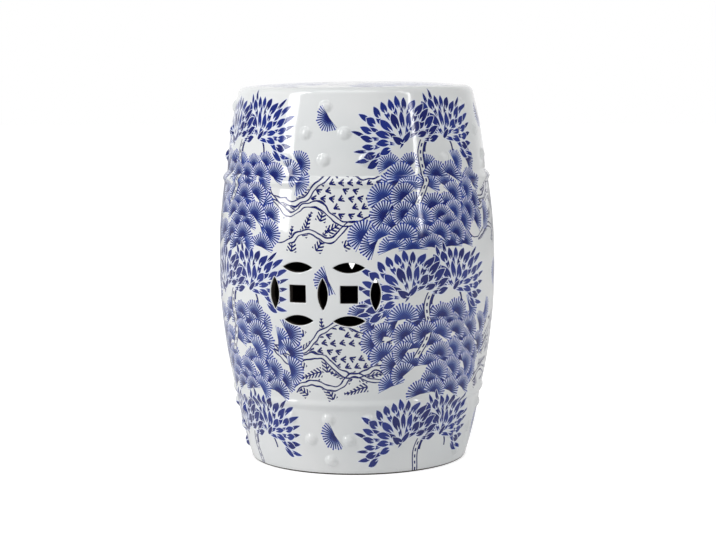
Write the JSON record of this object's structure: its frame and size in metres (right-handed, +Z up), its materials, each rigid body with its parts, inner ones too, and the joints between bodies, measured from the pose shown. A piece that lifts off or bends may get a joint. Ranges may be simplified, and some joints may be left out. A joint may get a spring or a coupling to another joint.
{
  "type": "ceramic garden stool",
  "caption": "Hollow drum-shaped ceramic garden stool with a slightly domed seat, raised bosses, two mouldings and pierced coin openings.",
  "frame": {"origin": "centre of the foot ring's underside, on the surface that the stool stands on", "axes": "+Z up along the drum's axis, -Y towards the front double coin, +X to the right seen from the front"},
  "size_m": [0.337, 0.337, 0.457],
  "materials": {
    "white_glaze": "gloss",
    "bare_clay": "matt"
  },
  "bodies": {
    "root": {"seat_top": "white_glaze", "upper_course": "white_glaze", "middle_course": "white_glaze", "lower_course": "white_glaze", "upper_moulding": "white_glaze", "lower_moulding": "white_glaze", "upper_bosses_row_1": "white_glaze", "upper_bosses_row_2": "white_glaze", "upper_bosses_row_3": "white_glaze", "lower_bosses_row_1": "white_glaze", "lower_bosses_row_2": "white_glaze", "lower_bosses_row_3": "white_glaze", "foot_ring": "bare_clay"}
  },
  "joints": []
}
